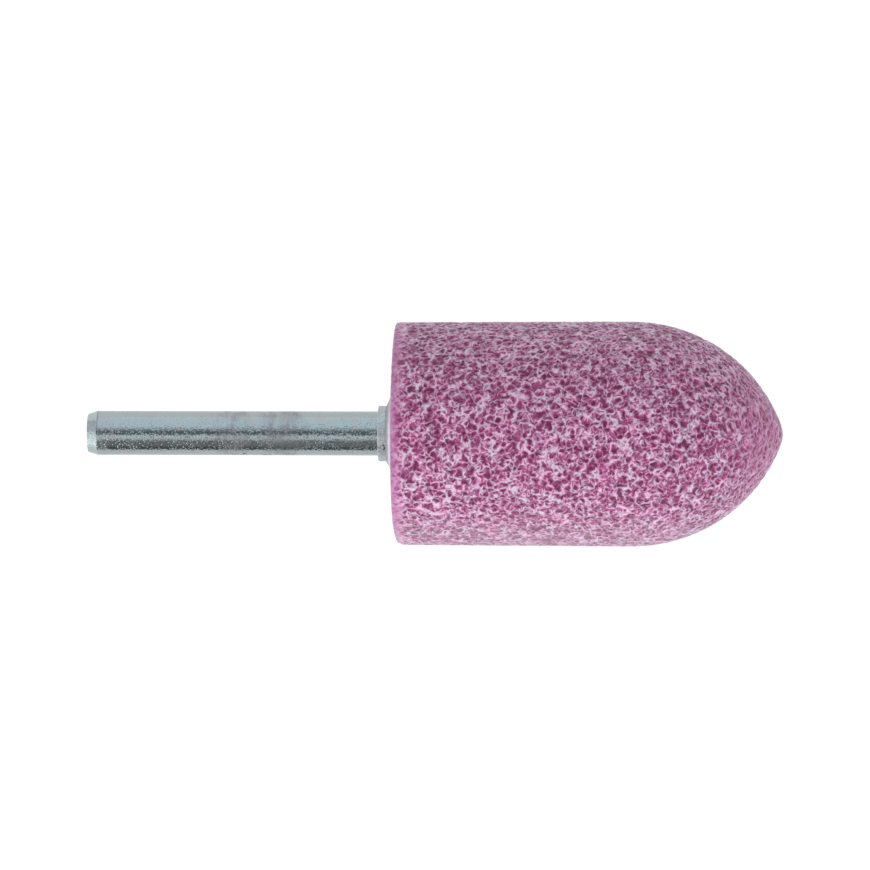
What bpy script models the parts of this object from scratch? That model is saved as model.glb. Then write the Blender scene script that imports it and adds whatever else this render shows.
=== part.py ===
# Mounted point: a ruby fused-alumina head with a pointed-arch nose, cemented onto a steel spindle.
# Metres, +Z up. The point lies on its side on the plane z = 0, with its axis along X and its nose at +X.
# Each piece is turned about its own Z, with the head's back face at z = 0 and the nose above it,
# and the whole set is then laid over by the empty that carries it.

import math

import bmesh
import bpy
from mathutils import Euler

MM = 0.001

# Abrasive head
HEAD_DIAMETER = 30.5 * MM
HEAD_LENGTH = 52.5 * MM
NOSE_LENGTH = 20.4 * MM  # the pointed arch, from the end of the straight wall to the tip
TIP_RADIUS = 4.0 * MM  # the blunt end of the arch
BACK_EDGE_RADIUS = 0.35 * MM  # round the rim of the back face
BORE_DIAMETER = 7.8 * MM
BORE_DEPTH = 26.0 * MM

# Spindle
SHANK_DIAMETER = 6.0 * MM
SHANK_LENGTH = 39.5 * MM  # free length, from the end face to the collar
END_CHAMFER_LENGTH = 1.3 * MM  # along the axis
END_CHAMFER_DROP = 0.4 * MM  # off the radius
COLLAR_DIAMETER = 7.4 * MM
COLLAR_THICKNESS = 1.05 * MM
TANG_DIAMETER = 6.2 * MM  # over the tips of the knurl
TANG_CHAMFER = 0.6 * MM
TANG_NECK_LENGTH = 3.0 * MM  # plain stretch between the collar and the knurl
KNURL_FLUTES = 30
KNURL_DEPTH = 0.3 * MM

# Cement
BEAD_LENGTH = 1.35 * MM  # from the collar to the head's back face
BEAD_DIAMETER = 14.8 * MM  # where it spreads on the back face
BEAD_ROOT_DIAMETER = 7.7 * MM  # where it meets the collar
BEAD_LIP = 0.12 * MM  # thickness of its outer edge
BEAD_SAG = 0.22 * MM  # how far its flare hollows below a straight cone
CEMENT_FLOOR = 1.4 * MM  # past the tang's end
SEAT_GAP = 0.1 * MM  # between each two pieces that touch

# Roundness of the turned forms
HEAD_STEPS = 72
SPINDLE_STEPS = 48
NOSE_STEPS = 22
TIP_STEPS = 4
EDGE_STEPS = 3
FLARE_STEPS = 6
MERGE_DISTANCE = 0.001 * MM
SHARP_ANGLE = math.radians(12)
CUTTER_MARGIN = 1.0 * MM

# Places along the axis that several pieces share
COLLAR_FRONT = -BEAD_LENGTH
COLLAR_BACK = COLLAR_FRONT - COLLAR_THICKNESS
SHANK_END = COLLAR_BACK - SHANK_LENGTH
TANG_END = BORE_DEPTH - CEMENT_FLOOR - 2 * SEAT_GAP


def arc(centre, radius, start, end, steps):
    # Points on a circle in the (radius, height) plane. Angles run from +radius towards +height.
    points = []
    for i in range(steps + 1):
        angle = start + (end - start) * i / steps
        points.append((centre[0] + radius * math.cos(angle), centre[1] + radius * math.sin(angle)))
    return points


def nose_profile():
    # A tangent ogive: one arc that leaves the straight wall without a corner and runs into the tip's own round.
    radius = HEAD_DIAMETER / 2
    wall_top = HEAD_LENGTH - NOSE_LENGTH
    tip_height = NOSE_LENGTH - TIP_RADIUS
    arch_radius = (tip_height**2 + radius**2 - TIP_RADIUS**2) / (2 * (radius - TIP_RADIUS))
    arch_centre = (radius - arch_radius, wall_top)
    tip_centre = (0.0, wall_top + tip_height)
    join = math.atan2(tip_height, arch_radius - radius)
    tip = arc(tip_centre, TIP_RADIUS, math.pi / 2, join, TIP_STEPS)
    arch = arc(arch_centre, arch_radius, join, 0.0, NOSE_STEPS)
    return tip + arch[1:]


def head_profile():
    # Down the outside from the tip to the back face, in to the bore, and up it to its closed end.
    radius = HEAD_DIAMETER / 2
    rim_centre = (radius - BACK_EDGE_RADIUS, BACK_EDGE_RADIUS)
    rim = arc(rim_centre, BACK_EDGE_RADIUS, 0.0, -math.pi / 2, EDGE_STEPS)
    bore = [(BORE_DIAMETER / 2, 0.0), (BORE_DIAMETER / 2, BORE_DEPTH), (0.0, BORE_DEPTH)]
    return nose_profile() + rim + bore


def spindle_profile():
    # Down from the tang's end, out round the collar, and down the shank to its chamfered end.
    tang = TANG_DIAMETER / 2
    shank = SHANK_DIAMETER / 2
    collar = COLLAR_DIAMETER / 2
    return [
        (0.0, TANG_END),
        (tang - TANG_CHAMFER, TANG_END),
        (tang, TANG_END - TANG_CHAMFER),
        (tang, COLLAR_FRONT),
        (collar, COLLAR_FRONT),
        (collar, COLLAR_BACK),
        (shank, COLLAR_BACK),
        (shank, SHANK_END + END_CHAMFER_LENGTH),
        (shank - END_CHAMFER_DROP, SHANK_END),
        (0.0, SHANK_END),
    ]


def flare_profile():
    # The bead's outside, from its lip under the back face to its root on the collar, slightly hollow.
    lip = (BEAD_DIAMETER / 2, -SEAT_GAP - BEAD_LIP)
    root = (BEAD_ROOT_DIAMETER / 2, COLLAR_FRONT + SEAT_GAP)
    points = []
    for i in range(FLARE_STEPS + 1):
        t = i / FLARE_STEPS
        hollow = 4 * t * (1 - t) * BEAD_SAG
        points.append((lip[0] + (root[0] - lip[0]) * t, lip[1] + (root[1] - lip[1]) * t + hollow))
    return points


def cement_profile():
    # A closed sleeve in the bore, with the bead outside it; its inside follows the tang.
    outer = BORE_DIAMETER / 2 - SEAT_GAP
    inner = TANG_DIAMETER / 2 + SEAT_GAP
    sleeve = [
        (0.0, BORE_DEPTH - SEAT_GAP),
        (outer, BORE_DEPTH - SEAT_GAP),
        (outer, -SEAT_GAP),
        (BEAD_DIAMETER / 2, -SEAT_GAP),
    ]
    pocket = [
        (inner, COLLAR_FRONT + SEAT_GAP),
        (inner, TANG_END + SEAT_GAP),
        (0.0, TANG_END + SEAT_GAP),
    ]
    return sleeve + flare_profile() + pocket


def clear_scene():
    for item in list(bpy.data.objects):
        bpy.data.objects.remove(item, do_unlink=True)


def new_collection(name):
    collection = bpy.data.collections.new(name)
    bpy.context.scene.collection.children.link(collection)
    return collection


def linear(value):
    # One 8-bit display channel as the linear value that a material takes.
    value /= 255
    return value / 12.92 if value <= 0.04045 else ((value + 0.055) / 1.055) ** 2.4


def surface(name, colour, roughness, metallic):
    material = bpy.data.materials.new(name)
    material.use_nodes = True
    shader = material.node_tree.nodes["Principled BSDF"]
    shader.inputs["Base Color"].default_value = [linear(channel) for channel in colour] + [1.0]
    shader.inputs["Roughness"].default_value = roughness
    shader.inputs["Metallic"].default_value = metallic
    material.diffuse_color = shader.inputs["Base Color"].default_value
    return material


def turned(name, profile, steps, material, collection, carrier):
    # A profile at +X, swept once round Z, turned by half a step so that a flat faces the floor.
    mesh = bpy.data.meshes.new(name)
    mesh.from_pydata([(x, 0.0, z) for x, z in profile], [(i, i + 1) for i in range(len(profile) - 1)], [])
    piece = bpy.data.objects.new(name, mesh)
    collection.objects.link(piece)
    piece.parent = carrier
    piece.rotation_euler = Euler((0.0, 0.0, math.pi / steps))
    piece.data.materials.append(material)
    screw = piece.modifiers.new("Turn", "SCREW")
    screw.axis = "Z"
    screw.angle = 2 * math.pi
    screw.steps = steps
    screw.render_steps = steps
    screw.use_smooth_shade = True
    screw.use_merge_vertices = True
    screw.merge_threshold = MERGE_DISTANCE
    return piece


def knurl_cutter(collection, carrier):
    # One V groove as a three-sided bar with an edge towards the axis, repeated all round the tang.
    bar_radius = 2 * KNURL_DEPTH
    bottom = COLLAR_FRONT + TANG_NECK_LENGTH
    length = TANG_END + CUTTER_MARGIN - bottom
    shape = bmesh.new()
    bmesh.ops.create_cone(
        shape, cap_ends=True, segments=3, radius1=bar_radius, radius2=bar_radius, depth=length
    )
    out = TANG_DIAMETER / 2 - KNURL_DEPTH + bar_radius
    bmesh.ops.translate(shape, verts=shape.verts[:], vec=(0.0, -out, bottom + length / 2))
    bmesh.ops.spin(
        shape,
        geom=shape.verts[:] + shape.edges[:] + shape.faces[:],
        cent=(0.0, 0.0, 0.0),
        axis=(0.0, 0.0, 1.0),
        angle=2 * math.pi * (KNURL_FLUTES - 1) / KNURL_FLUTES,
        steps=KNURL_FLUTES - 1,
        use_duplicate=True,
    )
    mesh = bpy.data.meshes.new("knurl_cutter")
    shape.to_mesh(mesh)
    shape.free()
    cutter = bpy.data.objects.new("knurl_cutter", mesh)
    collection.objects.link(cutter)
    cutter.parent = carrier
    cutter.hide_render = True
    cutter.display_type = "WIRE"
    return cutter


def cut(piece, cutter):
    boolean = piece.modifiers.new("Knurl", "BOOLEAN")
    boolean.operation = "DIFFERENCE"
    boolean.solver = "EXACT"
    boolean.object = cutter


def settle_mesh(piece):
    # Applies the modifiers and shades the round walls smooth between the real corners.
    bpy.context.view_layer.update()
    evaluated = piece.evaluated_get(bpy.context.evaluated_depsgraph_get())
    mesh = bpy.data.meshes.new_from_object(evaluated)
    mesh.name = piece.name
    mesh.shade_smooth()
    mesh.set_sharp_from_angle(angle=SHARP_ANGLE)
    piece.modifiers.clear()
    piece.data = mesh


def lay_down(carrier):
    # Nose to +X, the head's lowest flat on the floor, and the middle of the whole length over the origin.
    carrier.rotation_euler = Euler((0.0, math.pi / 2, 0.0))
    carrier.location.x = -(HEAD_LENGTH + SHANK_END) / 2
    carrier.location.z = HEAD_DIAMETER / 2 * math.cos(math.pi / HEAD_STEPS)


def build():
    clear_scene()
    parts = new_collection("mounted_point")
    cutters = new_collection("cutters")
    carrier = bpy.data.objects.new("mounted_point_axis", None)
    parts.objects.link(carrier)
    lay_down(carrier)

    grit = surface("ruby_alumina", (156, 112, 142), 0.85, 0.0)
    steel = surface("zinc_plated_steel", (160, 170, 175), 0.32, 1.0)
    paste = surface("set_cement", (203, 202, 212), 0.75, 0.0)

    turned("abrasive_head", head_profile(), HEAD_STEPS, grit, parts, carrier)
    turned("cement", cement_profile(), SPINDLE_STEPS, paste, parts, carrier)
    spindle = turned("spindle", spindle_profile(), SPINDLE_STEPS, steel, parts, carrier)
    cut(spindle, knurl_cutter(cutters, carrier))

    for piece in [item for item in parts.objects if item.type == "MESH"]:
        settle_mesh(piece)


build()
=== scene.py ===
import math
import bmesh
import bpy
from mathutils import Matrix, Vector


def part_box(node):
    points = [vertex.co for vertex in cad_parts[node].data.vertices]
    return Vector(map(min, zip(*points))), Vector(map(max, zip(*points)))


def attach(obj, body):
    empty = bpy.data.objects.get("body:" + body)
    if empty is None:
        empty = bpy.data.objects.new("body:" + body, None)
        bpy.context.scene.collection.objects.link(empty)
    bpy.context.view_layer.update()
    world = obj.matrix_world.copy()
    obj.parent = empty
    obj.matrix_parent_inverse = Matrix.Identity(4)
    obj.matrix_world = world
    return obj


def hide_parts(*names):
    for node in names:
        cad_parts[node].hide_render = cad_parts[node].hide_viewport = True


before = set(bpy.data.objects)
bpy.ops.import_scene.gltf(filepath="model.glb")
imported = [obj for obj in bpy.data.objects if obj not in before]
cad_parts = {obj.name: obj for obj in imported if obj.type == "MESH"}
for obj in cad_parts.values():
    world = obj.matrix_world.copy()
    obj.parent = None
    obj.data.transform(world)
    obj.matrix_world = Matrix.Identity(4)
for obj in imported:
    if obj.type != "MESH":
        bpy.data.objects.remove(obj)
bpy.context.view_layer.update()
mm = 0.001

# Places that every piece here is set out from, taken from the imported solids
headLow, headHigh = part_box("abrasive_head")
spindleLow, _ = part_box("spindle")
axisHeight = (headLow.z + headHigh.z) / 2
headRadius = (headHigh.y - headLow.y) / 2
backFace = headLow.x
noseTip = headHigh.x
shankEnd = spindleLow.x
smoothBelow = math.radians(12)  # breaks steeper than this stay crisp


# Small helpers for meshes

def shownAs(name, mesh, body="root"):
    piece = bpy.data.objects.new(name, mesh)
    bpy.context.scene.collection.objects.link(piece)
    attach(piece, body)
    return piece


def mergedCopy(node, name):
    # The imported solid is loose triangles, so a welded copy is what gets worked on
    shape = bmesh.new()
    shape.from_mesh(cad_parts[node].data)
    bmesh.ops.remove_doubles(shape, verts=shape.verts[:], dist=0.001 * mm)
    mesh = bpy.data.meshes.new(name)
    shape.to_mesh(mesh)
    shape.free()
    if "custom_normal" in mesh.attributes:  # made for the loose triangles, it bends a welded wall's shine
        mesh.attributes.remove(mesh.attributes["custom_normal"])
    return mesh


def applyModifiers(piece):
    bpy.context.view_layer.update()
    solid = piece.evaluated_get(bpy.context.evaluated_depsgraph_get())
    mesh = bpy.data.meshes.new_from_object(solid)
    piece.modifiers.clear()
    piece.data = mesh


def smoothWalls(mesh):
    mesh.shade_smooth()
    mesh.set_sharp_from_angle(angle=smoothBelow)


def paintWith(mesh, material):
    mesh.materials.clear()
    mesh.materials.append(material)


# Small helpers for node trees, shader and geometry alike

def addNode(tree, kind, sockets=None, **settings):
    made = tree.nodes.new(kind)
    for key, value in settings.items():
        setattr(made, key, value)
    for key, value in (sockets or {}).items():
        feed(tree, value, made.inputs[key])
    return made


def feed(tree, value, socket):
    # Links what another node gives, and sets a plain value
    if isinstance(value, bpy.types.NodeSocket):
        tree.links.new(value, socket)
    else:
        socket.default_value = value


def maths(tree, operation, first, second=0.0):
    return addNode(tree, "ShaderNodeMath", {0: first, 1: second}, operation=operation).outputs[0]


def product(tree, first, *others):
    for value in others:
        first = maths(tree, "MULTIPLY", first, value)
    return first


def total(tree, first, *others):
    for value in others:
        first = maths(tree, "ADD", first, value)
    return first


def remap(tree, value, fromLow, fromHigh, toLow=0.0, toHigh=1.0, smooth=True):
    kind = "SMOOTHSTEP" if smooth else "LINEAR"
    sockets = {0: value, 1: fromLow, 2: fromHigh, 3: toLow, 4: toHigh}
    return addNode(tree, "ShaderNodeMapRange", sockets, interpolation_type=kind).outputs[0]


def between(tree, value, low, high, soft):
    # 1 from low to high, with soft ends
    rise = remap(tree, value, low - soft, low + soft)
    fall = remap(tree, value, high - soft, high + soft, 1.0, 0.0)
    return product(tree, rise, fall)


def vectorMaths(tree, operation, first, second=(0.0, 0.0, 0.0)):
    return addNode(tree, "ShaderNodeVectorMath", {0: first, 1: second}, operation=operation).outputs[0]


def scaled(tree, vector, share):
    return addNode(tree, "ShaderNodeVectorMath", {0: vector, "Scale": share}, operation="SCALE").outputs[0]


def shifted(tree, place, x, y, z):
    return vectorMaths(tree, "ADD", place, (x, y, z))


def splitVector(tree, value):
    return addNode(tree, "ShaderNodeSeparateXYZ", {0: value}).outputs


def inMillimetres(tree, place):
    return scaled(tree, place, 1 / mm)


def distanceFromAxis(tree, place):
    _, y, z = splitVector(tree, place)
    up = maths(tree, "SUBTRACT", z, axisHeight)
    return maths(tree, "SQRT", total(tree, product(tree, y, y), product(tree, up, up)))


def noise(tree, place, size, detail=0.0, rough=0.5, output=0):
    sockets = {"Vector": place, "Scale": 1 / size, "Detail": detail, "Roughness": rough}
    return addNode(tree, "ShaderNodeTexNoise", sockets, noise_dimensions="3D").outputs[output]


def shade(red, green, blue):
    # A display colour, 0 to 255, as the linear colour that a node takes
    display = [channel / 255 for channel in (red, green, blue)]
    linear = [c / 12.92 if c <= 0.04045 else ((c + 0.055) / 1.055) ** 2.4 for c in display]
    return (*linear, 1.0)


def blend(tree, amount, first, second):
    made = addNode(tree, "ShaderNodeMix", data_type="RGBA")
    for key, value in ((0, amount), (6, first), (7, second)):
        feed(tree, value, made.inputs[key])
    return made.outputs[2]


def layered(tree, colour, layers):
    # Plain colours laid over a first one, each by its own share
    for amount, over in layers:
        colour = blend(tree, amount, colour, shade(*over))
    return colour


def colourRamp(tree, value, stops, interpolation="LINEAR"):
    made = addNode(tree, "ShaderNodeValToRGB", {0: value})
    ramp = made.color_ramp
    ramp.interpolation = interpolation
    ramp.elements[0].position = stops[0][0]
    ramp.elements[1].position = stops[-1][0]
    for position, _ in stops[1:-1]:
        ramp.elements.new(position)
    for element, (_, colour) in zip(ramp.elements, stops):
        element.color = shade(*colour)
    return made.outputs[0]


def newMaterial(name):
    material = bpy.data.materials.new(name)
    material.use_nodes = True
    return material, material.node_tree, material.node_tree.nodes["Principled BSDF"]


def addBump(tree, shader, height, strength, distance):
    bump = addNode(tree, "ShaderNodeBump", {"Height": height, "Strength": strength, "Distance": distance})
    tree.links.new(bump.outputs[0], shader.inputs["Normal"])


# The grinding head

stone = {
    "voxel": 0.288 * mm,  # finer than this would pass 200,000 triangles
    "reliefDepth": 0.20 * mm,
    "bumpDepth": 0.22 * mm,
    "bumpStrength": 0.6,
    "depthSpan": (0.1, 0.8),  # levels that lie at the full depth and at none
    "wornDepth": 0.35 * mm,
    "wornReach": 1.3 * mm,
    "wornSide": (-0.75, -0.98),  # across the axis, in head radii, from not worn to fully worn
    "backDraft": 0.12 * mm,  # how much thinner the wall is at the back than where the nose begins, per side
    "draftLength": 27.5 * mm,
    "warpSize": 0.94,  # sizes here are in millimetres
    "warpReach": 0.345,
    "pores": [(1.4, 1.0, 1.0), (1.0, 1.0, 1.0), (0.7, 0.75, 0.6)],  # size, hollow, rim
    "poreStep": (9.1, 4.2, 7.7),  # how far each size is shifted from the one before
    "poreMiddle": 0.06,  # in pore sizes, as the next two are
    "rimSpan": (0.42, 0.55),  # where a pore's rim starts and ends
    "rimSoft": 0.09,
    "cellSmoothness": 0.05,
    "hollowShare": 0.44,
    "rimShare": 0.4,
    "webs": [(0.88, (1.0, 22.0, 3.0)), (1.17, (11.0, 2.0, 33.0))],  # size and shift
    "webShare": 0.25,
    "webWidth": 0.085,  # in units of the soft noise that the web follows
    "grainSize": 1.4,
    "grainShare": 0.19,
    "middleLevel": 0.33,
    "calmBack": (0.6, 2.3, 0.55),  # from and to, in millimetres past the back face, and share
    "calmNose": (9.0, 2.0, 0.45),  # from and to, in millimetres before the tip, and share
    "calmLevels": (0.74, 0.52),  # what the strip at the back and the nose are evened out towards
    "calmHue": 0.3,  # how much of the change in hue is left there
    "hueSize": 1.45,
    "hueSpan": (0.32, 0.68),
    "ruby": [
        (0.0, (102, 8, 64)),
        (0.2, (132, 24, 90)),
        (0.4, (158, 57, 114)),
        (0.55, (180, 91, 144)),
        (0.7, (204, 132, 179)),
        (0.85, (225, 170, 206)),
        (1.0, (240, 198, 224)),
    ],
    "ash": [
        (0.0, (94, 13, 61)),
        (0.2, (123, 30, 86)),
        (0.4, (149, 64, 116)),
        (0.55, (169, 103, 148)),
        (0.7, (188, 155, 185)),
        (0.85, (209, 186, 209)),
        (1.0, (224, 206, 227)),
    ],
    "skin": (184, 124, 176),  # the thin lilac skin along the back edge
    "skinSpan": (0.2 * mm, 1.3 * mm),
    "skinShare": 0.5,
    "paintedSheen": (214, 184, 200),  # painted sheen: the wall painted paler towards its -Y edge, where the key lamp's light grazes it
    "paintedSheenSide": (-0.6, -0.95),  # across the axis, in head radii
    "paintedSheenShare": 0.2,
    "roughness": (0.5, 0.68),  # in the pores and on the rims
    "specular": 0.3,
    "sheenRoughness": 0.45,
    "sheenTint": (0.97, 0.89, 1.0, 1.0),
}


def roundCells(tree, place, size):
    # Distance from the middles of rounded cells, small in a cell and larger between cells
    sockets = {"Vector": place, "Scale": 1 / size, "Smoothness": stone["cellSmoothness"], "Randomness": 1.0}
    made = addNode(tree, "ShaderNodeTexVoronoi", sockets, voronoi_dimensions="3D", feature="SMOOTH_F1")
    return made.outputs["Distance"]


def poresAndRims(tree, bent):
    # Rounded pores of several sizes, and the bright rims round them
    hollows = 0.0
    rims = 0.0
    start, end = stone["rimSpan"]
    for i, (size, hollowWeight, rimWeight) in enumerate(stone["pores"]):
        away = roundCells(tree, shifted(tree, bent, *(i * step for step in stone["poreStep"])), size)
        hollow = remap(tree, away, stone["poreMiddle"], start, hollowWeight, 0.0)
        rim = product(tree, between(tree, away, start, end, stone["rimSoft"]), rimWeight)
        hollows = maths(tree, "MAXIMUM", hollow, hollows)
        rims = maths(tree, "MAXIMUM", rim, rims)
    return hollows, rims


def curlyWeb(tree, bent):
    # 1 on thin lines that wander round and close on themselves, where soft noise crosses its middle
    web = 0.0
    wide = stone["webWidth"]
    for size, shift in stone["webs"]:
        offLine = maths(tree, "SUBTRACT", noise(tree, shifted(tree, bent, *shift), size), 0.5)
        line = remap(tree, maths(tree, "ABSOLUTE", offLine), wide * 0.2, wide, 1.0, 0.0)
        web = maths(tree, "MAXIMUM", line, web)
    return web


def calmStretches(tree, along):
    # The strip at the back face and the nose are cut smoother than the wall between them
    start, end, share = stone["calmBack"]
    nearBack = remap(tree, along, backFace / mm + start, backFace / mm + end, share, 0.0)
    start, end, share = stone["calmNose"]
    nearNose = remap(tree, along, noseTip / mm - start, noseTip / mm - end, 0.0, share)
    return nearBack, nearNose


def sponge(tree, place):
    # The open-pored surface as one level, from 0 in the deepest pores to 1 on the brightest rims
    inMm = inMillimetres(tree, place)
    swirl = vectorMaths(tree, "SUBTRACT", noise(tree, inMm, stone["warpSize"], output=1), (0.5, 0.5, 0.5))
    bent = vectorMaths(tree, "ADD", inMm, scaled(tree, swirl, stone["warpReach"] * 2))
    hollows, rims = poresAndRims(tree, bent)
    grain = noise(tree, shifted(tree, inMm, 3.0, 1.0, 8.0), stone["grainSize"], detail=2.0, rough=0.6)
    middle = stone["middleLevel"]
    spread = stone["grainShare"]
    level = total(
        tree,
        remap(tree, grain, 0.3, 0.7, middle - spread, middle + spread, smooth=False),
        product(tree, hollows, -stone["hollowShare"]),
        product(tree, rims, stone["rimShare"]),
        product(tree, curlyWeb(tree, bent), stone["webShare"]),
    )
    calm = 0.0
    for stretch, aim in zip(calmStretches(tree, splitVector(tree, inMm)[0]), stone["calmLevels"]):
        level = total(tree, level, product(tree, maths(tree, "SUBTRACT", aim, level), stretch))
        calm = maths(tree, "MAXIMUM", stretch, calm)
    depth = remap(tree, level, *stone["depthSpan"], 1.0, 0.0)
    return {"level": level, "depth": depth, "calm": calm, "inMm": inMm}


def wornEdge(tree, place):
    # The rim of the back face is rubbed round along one side
    x, y, _ = splitVector(tree, place)
    inward = maths(tree, "SUBTRACT", headRadius, distanceFromAxis(tree, place))
    along = maths(tree, "SUBTRACT", x, backFace)
    near = remap(tree, total(tree, inward, along), 0.0, stone["wornReach"], 1.0, 0.0)
    side = remap(tree, y, *(share * headRadius for share in stone["wornSide"]))
    return product(tree, near, side, stone["wornDepth"])


def drafted(tree, place):
    # The wall narrows a little from the nose to the back face, as it came out of its mould
    along = splitVector(tree, place)[0]
    share = stone["backDraft"] / headRadius
    narrower = remap(tree, along, backFace, backFace + stone["draftLength"], -share, 0.0, smooth=False)
    fromAxis = vectorMaths(tree, "SUBTRACT", place, (0.0, 0.0, axisHeight))
    return scaled(tree, vectorMaths(tree, "MULTIPLY", fromAxis, (0.0, 1.0, 1.0)), narrower)


def reliefGroup():
    tree = bpy.data.node_groups.new("poreRelief", "GeometryNodeTree")
    tree.interface.new_socket("Geometry", in_out="INPUT", socket_type="NodeSocketGeometry")
    tree.interface.new_socket("Geometry", in_out="OUTPUT", socket_type="NodeSocketGeometry")
    start = addNode(tree, "NodeGroupInput")
    end = addNode(tree, "NodeGroupOutput")
    place = addNode(tree, "GeometryNodeInputPosition").outputs[0]
    outward = addNode(tree, "GeometryNodeInputNormal").outputs[0]
    drop = product(tree, sponge(tree, place)["depth"], -stone["reliefDepth"])
    drop = maths(tree, "SUBTRACT", drop, wornEdge(tree, place))
    offset = vectorMaths(tree, "ADD", scaled(tree, outward, drop), drafted(tree, place))
    moved = addNode(tree, "GeometryNodeSetPosition", {"Geometry": start.outputs[0], "Offset": offset})
    tree.links.new(moved.outputs[0], end.inputs[0])
    return tree


def stoneColour(tree, place, field):
    hue = noise(tree, shifted(tree, field["inMm"], 4.0, 8.0, 2.0), stone["hueSize"], detail=1.0)
    hue = remap(tree, hue, *stone["hueSpan"], smooth=False)
    hue = product(tree, hue, remap(tree, field["calm"], 0.0, 0.5, 1.0, stone["calmHue"], smooth=False))
    ruby = colourRamp(tree, field["level"], stone["ruby"])
    ash = colourRamp(tree, field["level"], stone["ash"])
    x, y, _ = splitVector(tree, place)
    skin = remap(tree, x, *(backFace + reach for reach in stone["skinSpan"]), stone["skinShare"], 0.0)
    # A painted sheen: the wall is painted paler towards its -Y edge, standing in for grazing light there
    sheenPainted = remap(tree, y, *(share * headRadius for share in stone["paintedSheenSide"]), 0.0, stone["paintedSheenShare"])
    return layered(tree, blend(tree, hue, ruby, ash), [(skin, stone["skin"]), (sheenPainted, stone["paintedSheen"])])


def stoneMaterial():
    material, tree, shader = newMaterial("rubyAlumina")
    ground = addNode(tree, "ShaderNodeAttribute", attribute_type="GEOMETRY", attribute_name="ground")
    place = ground.outputs["Vector"]
    field = sponge(tree, place)
    tree.links.new(stoneColour(tree, place, field), shader.inputs["Base Color"])
    tree.links.new(remap(tree, field["level"], 0.2, 0.7, *stone["roughness"]), shader.inputs["Roughness"])
    shader.inputs["Specular IOR Level"].default_value = stone["specular"]
    shader.inputs["Sheen Weight"].default_value = 1.0  # the pale bloom where the wall turns away
    shader.inputs["Sheen Roughness"].default_value = stone["sheenRoughness"]
    shader.inputs["Sheen Tint"].default_value = stone["sheenTint"]
    height = maths(tree, "SUBTRACT", 1.0, field["depth"])
    addBump(tree, shader, height, stone["bumpStrength"], stone["bumpDepth"])
    return material


def makeStone():
    piece = shownAs("ground_stone", mergedCopy("abrasive_head", "ground_stone"))
    remesh = piece.modifiers.new("evenMesh", "REMESH")
    remesh.mode = "VOXEL"
    remesh.voxel_size = stone["voxel"]
    remesh.use_smooth_shade = True
    applyModifiers(piece)
    mesh = piece.data
    ground = mesh.attributes.new("ground", "FLOAT_VECTOR", "POINT")  # where each point was before the relief
    places = [0.0] * (3 * len(mesh.vertices))
    mesh.vertices.foreach_get("co", places)
    ground.data.foreach_set("vector", places)
    relief = piece.modifiers.new("relief", "NODES")
    relief.node_group = reliefGroup()
    applyModifiers(piece)
    paintWith(piece.data, stoneMaterial())
    piece.data.shade_smooth()
    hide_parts("abrasive_head")
    print("stone:", len(piece.data.polygons), "faces")


# The spindle

steel = {
    "roughness": 0.15,
    "dullRoughness": 0.22,  # added where the plating is dulled
    "collarRoughness": 0.3,  # added on the collar
    "speckleSize": 0.23,  # millimetres
    "speckleSpan": (0.54, 0.77),  # only the peaks of the noise stand up as specks
    "speckleHeight": 0.026 * mm,
    "orangePeel": 0.45,  # the plating's even ripple, as a share of the specks' height
    "collarRipple": 3.5,  # how much higher both are on the collar
    "rubbed": [(0.3, 2.6), (18.5, 21.2), (23.9, 28.9)],  # where it's dulled, millimetres from the shank's end
    "stainedPast": 7.2,  # the dulled places beyond this one are discoloured too
    "chamferEdge": 1.4,  # a thin painted shade line runs round here, on the +Y side, away from the key lamp
    "chip": (21.4, -2.73, 1.24),  # millimetres from the shank's end, and across and up from the axis
    "chipSize": 0.17,  # its half width, and it's twice as long
    "shankRadius": 3.0 * mm,
    "collarRound": 0.12 * mm,
    "collarProud": 0.07 * mm,  # how far the plating builds the collar's rim out
    "collarReach": 0.07 * mm,  # its front face towards the cement
    "collarTrim": 0.05 * mm,  # its back edge the same way
    "darkReflectionSide": (-2.9, -1.3),  # millimetres across the axis, where small dark marks are painted on the collar's rim as a painted dark reflection
    "darkReflectionSpan": (0.455, 0.515),  # the band of the noise that shows as the painted dark reflection
    "plate": (180, 190, 193),
    "cloud": (174, 186, 184),
    "warm": (186, 184, 185),
    "tarnish": (158, 156, 160),
    "bevel": (192, 205, 206),
    "collar": (206, 213, 215),
    "darkReflection": (84, 90, 92),
    "paintedShadeLine": (110, 118, 120),
    "bare": (48, 50, 50),
}


def dulledPlate(tree, inMm, fromEnd):
    # 1 where handling has dulled the plating, in uneven streaks
    wander = remap(tree, noise(tree, inMm, 2.2, detail=2.0), 0.3, 0.7, -1.0, 1.0)
    wandering = total(tree, fromEnd, wander)
    dull = 0.0
    for low, high in steel["rubbed"]:
        dull = maths(tree, "MAXIMUM", between(tree, wandering, low, high, 1.0), dull)
    cloudy = remap(tree, noise(tree, inMm, 1.2, detail=2.0), 0.3, 0.7, 0.3, 1.0)
    streaky = noise(tree, vectorMaths(tree, "MULTIPLY", inMm, (1.0, 0.2, 0.2)), 0.5, detail=1.0)
    return product(tree, dull, cloudy, remap(tree, streaky, 0.35, 0.65, 0.35, 1.0))


def chippedSpot(tree, inMm):
    along, across, up = steel["chip"]
    fromChip = vectorMaths(tree, "SUBTRACT", inMm, (shankEnd / mm + along, across, up + axisHeight / mm))
    fromChip = vectorMaths(tree, "MULTIPLY", fromChip, (0.5, 1.0, 1.0))
    away = addNode(tree, "ShaderNodeVectorMath", {0: fromChip}, operation="LENGTH").outputs["Value"]
    return remap(tree, away, steel["chipSize"] * 0.6, steel["chipSize"] * 1.2, 0.9, 0.0)


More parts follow.
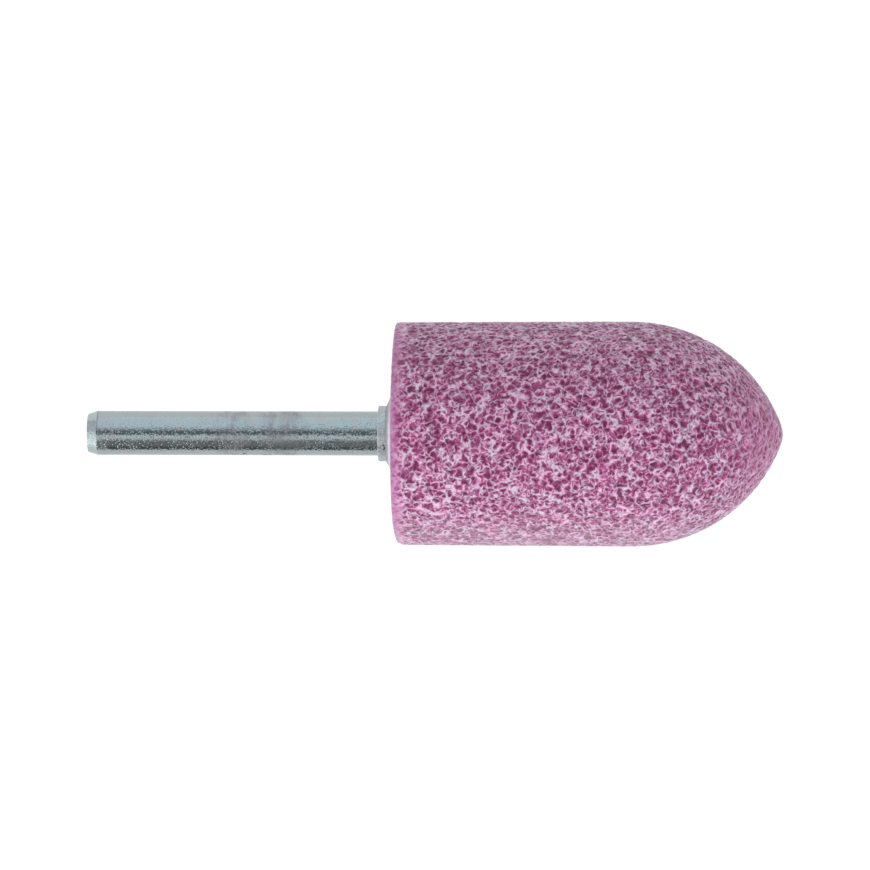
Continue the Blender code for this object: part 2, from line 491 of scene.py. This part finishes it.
def plateColour(tree, inMm, fromEnd, dull, collar):
    across = splitVector(tree, inMm)[1]
    edge = steel["chamferEdge"]
    cloud = remap(tree, noise(tree, inMm, 5.0, detail=2.0), 0.45, 0.7, 0.0, 0.5)
    warm = remap(tree, noise(tree, shifted(tree, inMm, 9.0, 5.0, 1.0), 2.6, detail=1.0), 0.5, 0.68, 0.0, 0.6)
    stained = remap(tree, fromEnd, steel["stainedPast"] - 1, steel["stainedPast"] + 1)
    bevel = remap(tree, fromEnd, edge - 0.1, edge, 1.0, 0.0)
    # Small dark marks on the collar's rim, a painted dark reflection on its -Y side
    darkReflections = between(tree, noise(tree, inMm, 0.6), *steel["darkReflectionSpan"], 0.015)
    darkReflections = product(tree, darkReflections, between(tree, across, *steel["darkReflectionSide"], 0.25), collar)
    # A painted shade line round the chamfer's break, fading out towards the -Y side that the key lamp lights
    paintedShadeLine = between(tree, fromEnd, edge - 0.07, edge + 0.07, 0.05)
    paintedShadeLine = product(tree, paintedShadeLine, remap(tree, across, -0.8, 0.4, 0.0, 0.65))
    layers = [
        (cloud, steel["cloud"]),
        (warm, steel["warm"]),
        (product(tree, dull, stained), steel["tarnish"]),
        (bevel, steel["bevel"]),
        (collar, steel["collar"]),
        (darkReflections, steel["darkReflection"]),
        (paintedShadeLine, steel["paintedShadeLine"]),
        (chippedSpot(tree, inMm), steel["bare"]),
    ]
    return layered(tree, shade(*steel["plate"]), layers)


def plateHeight(tree, inMm, collar):
    # Specks that crowd in places, over the plating's even ripple
    ripple = noise(tree, inMm, steel["speckleSize"])
    crowded = remap(tree, noise(tree, inMm, 2.5, detail=1.0), 0.35, 0.65, 0.45, 1.0)
    specks = product(tree, remap(tree, ripple, *steel["speckleSpan"]), crowded)
    height = total(tree, specks, product(tree, ripple, steel["orangePeel"]))
    return product(tree, height, remap(tree, collar, 0.0, 1.0, 1.0, steel["collarRipple"], smooth=False))


def steelMaterial():
    material, tree, shader = newMaterial("zincPlate")
    place = addNode(tree, "ShaderNodeTexCoord").outputs["Object"]
    inMm = inMillimetres(tree, place)
    fromEnd = maths(tree, "SUBTRACT", splitVector(tree, inMm)[0], shankEnd / mm)
    dull = dulledPlate(tree, inMm, fromEnd)
    shank = steel["shankRadius"]
    collar = remap(tree, distanceFromAxis(tree, place), shank + 0.02 * mm, shank + 0.2 * mm)
    tree.links.new(plateColour(tree, inMm, fromEnd, dull, collar), shader.inputs["Base Color"])
    shader.inputs["Metallic"].default_value = 1.0
    dulled = product(tree, dull, steel["dullRoughness"])
    rough = total(tree, dulled, product(tree, collar, steel["collarRoughness"]), steel["roughness"])
    tree.links.new(rough, shader.inputs["Roughness"])
    addBump(tree, shader, plateHeight(tree, inMm, collar), 1.0, steel["speckleHeight"])
    return material


def roundCollar(mesh):
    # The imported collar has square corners, and the real one is rounded over on the shank's side
    shape = bmesh.new()
    shape.from_mesh(mesh)
    reach = {vert: math.hypot(vert.co.y, vert.co.z - axisHeight) for vert in shape.verts}
    widest = max(reach.values())
    rim = [vert for vert in shape.verts if reach[vert] > widest - 0.01 * mm]
    middle = sum(vert.co.x for vert in rim) / len(rim)
    back = {vert for vert in rim if vert.co.x < middle}
    wider = 1 + steel["collarProud"] / widest
    for vert in rim:
        vert.co.y *= wider
        vert.co.z = axisHeight + (vert.co.z - axisHeight) * wider
        vert.co.x += steel["collarTrim"] if vert in back else steel["collarReach"]
    edges = [edge for edge in shape.edges if edge.verts[0] in back and edge.verts[1] in back]
    bmesh.ops.bevel(shape, geom=edges, offset=steel["collarRound"], segments=3, profile=0.5, affect="EDGES")
    shape.to_mesh(mesh)
    shape.free()


def makeSpindle():
    mesh = mergedCopy("spindle", "plated_spindle")
    roundCollar(mesh)
    smoothWalls(mesh)
    piece = shownAs("plated_spindle", mesh)
    paintWith(mesh, steelMaterial())
    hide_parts("spindle")
    print("spindle:", len(mesh.polygons), "faces")


# The cement

paste = {
    "grainSize": 0.35,  # millimetres
    "grainDepth": 0.05 * mm,
    "grainStrength": 0.5,
    "wobble": 0.1 * mm,  # how far the edges of the rings below wander
    "rootShadeRadius": 4.3 * mm,  # painted shade and painted reflection of the collar, grey on the bead's root up to here; its own clean colour from the next one on
    "cleanRadius": 4.7 * mm,
    "jointShadowRadius": 4.62 * mm,  # a painted shadow line where the bead leaves the collar
    "jointShadowSoft": 0.12 * mm,
    "jointShadowShare": 0.85,
    "sideShadeFrom": (0.5 * mm, 4.0 * mm),  # across the axis, where the +Y side, away from the key lamp, is painted greyer as painted shade
    "sideShadeShare": 0.6,
    "roughness": 0.45,
    "clean": [(0.3, (222, 214, 229)), (0.5, (238, 231, 244)), (0.7, (247, 242, 250))],
    # grey: the painted shade and painted collar reflection on the bead's root
    "grey": [(0.3, (176, 180, 178)), (0.5, (196, 200, 198)), (0.7, (212, 215, 214))],
    "sideShade": (168, 158, 168),
    "jointShadow": (162, 164, 170),
}


def pasteMaterial():
    material, tree, shader = newMaterial("setCement")
    place = addNode(tree, "ShaderNodeTexCoord").outputs["Object"]
    grain = noise(tree, inMillimetres(tree, place), paste["grainSize"], detail=3.0, rough=0.6)
    wobble = remap(tree, grain, 0.3, 0.7, -paste["wobble"], paste["wobble"])
    reach = total(tree, distanceFromAxis(tree, place), wobble)
    # The bead's root is painted grey, as painted shade and a painted reflection of the collar
    grey = colourRamp(tree, grain, paste["grey"])
    clean = colourRamp(tree, grain, paste["clean"])
    colour = blend(tree, remap(tree, reach, paste["rootShadeRadius"], paste["cleanRadius"]), grey, clean)
    # The +Y side of the bead, away from the key lamp, is painted greyer as painted shade
    shadedSide = remap(tree, splitVector(tree, place)[1], *paste["sideShadeFrom"], 0.0, paste["sideShadeShare"])
    # A painted shadow line in the joint between the bead and the collar
    low = paste["jointShadowRadius"] - paste["jointShadowSoft"]
    high = paste["jointShadowRadius"] + paste["jointShadowSoft"]
    jointShadow = remap(tree, reach, low, high, paste["jointShadowShare"], 0.0)
    colour = layered(tree, colour, [(shadedSide, paste["sideShade"]), (jointShadow, paste["jointShadow"])])
    tree.links.new(colour, shader.inputs["Base Color"])
    shader.inputs["Roughness"].default_value = paste["roughness"]
    addBump(tree, shader, grain, paste["grainStrength"], paste["grainDepth"])
    return material


def makeCement():
    mesh = mergedCopy("cement", "cement_fill")
    smoothWalls(mesh)
    piece = shownAs("cement_fill", mesh)
    paintWith(mesh, pasteMaterial())
    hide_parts("cement")
    print("cement:", len(mesh.polygons), "faces")


# The table, the light and the camera

studio = {
    "photoWide": 870,  # pixels
    "pixelsPerMm": 7.367,
    "lens": 250.0,
    "sensorWide": 36.0,
    "yaw": math.radians(2.9),
    "roll": math.radians(0.14),
    "axisPixel": 433.65,  # row of the tool's axis in the middle of the picture
    "middlePixel": 434.95,  # column of the frame's x = 0
    "tableReach": 1.5,
    "floorDrop": 0.02 * mm,
    "tableLit": 0.8,  # the table's own grey as the object is lit by it
    "tableSeen": 0.22,  # and as the camera sees it, under its glow
    "tableGlow": 0.9,
    "mirroredGlow": 0.64,  # the same table as the plating reflects it
    "roomLight": 0.72,
    # A lamp's angle is in degrees from straight up towards +Y, and its lean is towards the shank's end
    "keyLamp": {"angle": -62, "lean": 0, "distance": 0.7, "wide": 0.4, "long": 0.9, "power": 2.38},
    "fillLamp": {"angle": -80, "lean": 65, "distance": 0.6, "wide": 0.3, "long": 0.3, "power": 0.45},
    "screenRadius": 130 * mm,
    "screenRows": 60,
    "shankScreen": (-92 * mm, 60 * mm),  # from and to along the axis
    "shankShades": [  # degrees from straight up towards +Y, and the shade that the plating reflects there
        (-96, (66, 72, 74)),
        (-78, (66, 70, 72)),
        (-74, (97, 97, 99)),
        (-46, (104, 104, 106)),
        (-24, (230, 234, 236)),
        (-15, (240, 246, 248)),
        (-7, (105, 113, 116)),
        (4, (98, 107, 110)),
        (36, (232, 244, 250)),
        (84, (230, 246, 252)),
    ],
    "bevelScreen": (-222 * mm, -92 * mm),
    "bevelShades": [(-4, (235, 238, 242)), (8, (198, 199, 206)), (84, (192, 192, 199))],
}


def seenByCamera(tree):
    # Camera, mirror and glass rays all meet the pale background
    path = addNode(tree, "ShaderNodeLightPath").outputs
    seen = maths(tree, "MAXIMUM", path["Is Camera Ray"], path["Is Glossy Ray"])
    return maths(tree, "MAXIMUM", seen, path["Is Transmission Ray"])


def makeTable():
    shape = bmesh.new()
    bmesh.ops.create_grid(shape, x_segments=1, y_segments=1, size=studio["tableReach"])
    bmesh.ops.translate(shape, verts=shape.verts[:], vec=(0.0, 0.0, -studio["floorDrop"]))
    mesh = bpy.data.meshes.new("table_top")
    shape.to_mesh(mesh)
    shape.free()
    table = bpy.data.objects.new("table_top", mesh)
    bpy.context.scene.collection.objects.link(table)
    material, tree, shader = newMaterial("whiteTable")
    seen = seenByCamera(tree)
    grey = remap(tree, seen, 0.0, 1.0, studio["tableLit"], studio["tableSeen"], smooth=False)
    tree.links.new(grey, shader.inputs["Base Color"])
    shader.inputs["Roughness"].default_value = 0.9
    shader.inputs["Specular IOR Level"].default_value = 0.0
    shader.inputs["Emission Color"].default_value = (1.0, 1.0, 1.0, 1.0)
    mirrored = addNode(tree, "ShaderNodeLightPath").outputs["Is Glossy Ray"]
    glow = remap(tree, mirrored, 0.0, 1.0, studio["tableGlow"], studio["mirroredGlow"], smooth=False)
    tree.links.new(product(tree, seen, glow), shader.inputs["Emission Strength"])
    mesh.materials.append(material)


def makeWorld():
    world = bpy.data.worlds.new("softRoom")
    bpy.context.scene.world = world
    world.use_nodes = True
    tree = world.node_tree
    background = tree.nodes["Background"]
    strength = remap(tree, seenByCamera(tree), 0.0, 1.0, studio["roomLight"], 1.0, smooth=False)
    tree.links.new(strength, background.inputs["Strength"])
    background.inputs["Color"].default_value = (1.0, 1.0, 1.0, 1.0)


def turnTo(item, right, back):
    # Sets a camera or lamp square: its own X along right, its own Z along back
    item.rotation_mode = "QUATERNION"
    item.rotation_quaternion = Matrix((right, back.cross(right), back)).transposed().to_quaternion()


def aimedFrom(item, angle, lean, distance):
    # Puts a lamp over the tool's axis, turned round it towards +Y by the angle and leaning towards -X
    along = Vector((1.0, 0.0, 0.0))
    outward = Vector((0.0, math.sin(angle), math.cos(angle)))
    direction = outward * math.cos(lean) - along * math.sin(lean)
    right = along * math.cos(lean) + outward * math.sin(lean)
    item.location = Vector((0.0, 0.0, axisHeight)) + direction * distance
    turnTo(item, right, direction)


def addLamp(name, angle, lean, distance, wide, long, power):
    lamp = bpy.data.lights.new(name, "AREA")
    lamp.shape = "RECTANGLE"
    lamp.size = long
    lamp.size_y = wide
    lamp.energy = power
    item = bpy.data.objects.new(name, lamp)
    bpy.context.scene.collection.objects.link(item)
    aimedFrom(item, math.radians(angle), math.radians(lean), distance)
    item.visible_camera = False


def bentSheet(name, span, first, last):
    # Part of a tube round the tool's axis, from the first to the last angle in degrees
    radius = studio["screenRadius"]
    rows = studio["screenRows"]
    shape = bmesh.new()
    lines = []
    for i in range(rows + 1):
        angle = math.radians(first + (last - first) * i / rows)
        y = radius * math.sin(angle)
        z = axisHeight + radius * math.cos(angle)
        lines.append([shape.verts.new((x, y, z)) for x in span])
    for low, high in zip(lines[:-1], lines[1:]):
        shape.faces.new((low[0], low[1], high[1], high[0]))
    mesh = bpy.data.meshes.new(name)
    shape.to_mesh(mesh)
    shape.free()
    return mesh


def addScreen(name, span, shades):
    # A round screen over the tool that only the plating reflects, shaded from one side to the other
    first = shades[0][0]
    last = shades[-1][0]
    mesh = bentSheet(name, span, first, last)
    screen = bpy.data.objects.new(name, mesh)
    bpy.context.scene.collection.objects.link(screen)
    material, tree, shader = newMaterial(name)
    _, y, z = splitVector(tree, addNode(tree, "ShaderNodeTexCoord").outputs["Object"])
    angle = maths(tree, "ARCTAN2", y, maths(tree, "SUBTRACT", z, axisHeight))
    share = remap(tree, angle, math.radians(first), math.radians(last), smooth=False)
    stops = [((at - first) / (last - first), colour) for at, colour in shades]
    shader.inputs["Base Color"].default_value = (0.0, 0.0, 0.0, 1.0)
    shader.inputs["Specular IOR Level"].default_value = 0.0
    tree.links.new(colourRamp(tree, share, stops, "EASE"), shader.inputs["Emission Color"])
    shader.inputs["Emission Strength"].default_value = 1.0
    mesh.materials.append(material)
    screen.visible_camera = False
    screen.visible_diffuse = False
    screen.visible_shadow = False


def makeLight():
    for name in ("keyLamp", "fillLamp"):
        addLamp(name, **studio[name])
    addScreen("shankScreen", studio["shankScreen"], studio["shankShades"])
    addScreen("bevelScreen", studio["bevelScreen"], studio["bevelShades"])


def makeCamera():
    camera = bpy.data.cameras.new("camera")
    camera.lens = studio["lens"]
    camera.sensor_width = studio["sensorWide"]
    camera.clip_start = 0.01
    camera.clip_end = 10.0
    item = bpy.data.objects.new("camera", camera)
    bpy.context.scene.collection.objects.link(item)
    pixel = mm / studio["pixelsPerMm"]
    distance = studio["photoWide"] * pixel * camera.lens / camera.sensor_width
    yaw = studio["yaw"]
    roll = studio["roll"]
    level = Vector((math.cos(yaw), 0.0, -math.sin(yaw)))
    across = Vector((0.0, 1.0, 0.0))
    right = level * math.cos(roll) + across * math.sin(roll)
    up = across * math.cos(roll) - level * math.sin(roll)
    back = right.cross(up)
    middle = studio["photoWide"] / 2
    target = Vector((0.0, 0.0, axisHeight))
    target += right * (middle - studio["middlePixel"]) * pixel
    target += up * (studio["axisPixel"] - middle) * pixel
    item.location = target + back * distance
    turnTo(item, right, back)
    bpy.context.scene.camera = item


makeCamera()
makeTable()
makeWorld()
makeLight()
print("table, light and camera set")
makeSpindle()
makeCement()
makeStone()

bpy.context.scene.view_settings.view_transform = "Standard"
bpy.context.view_layer.update()
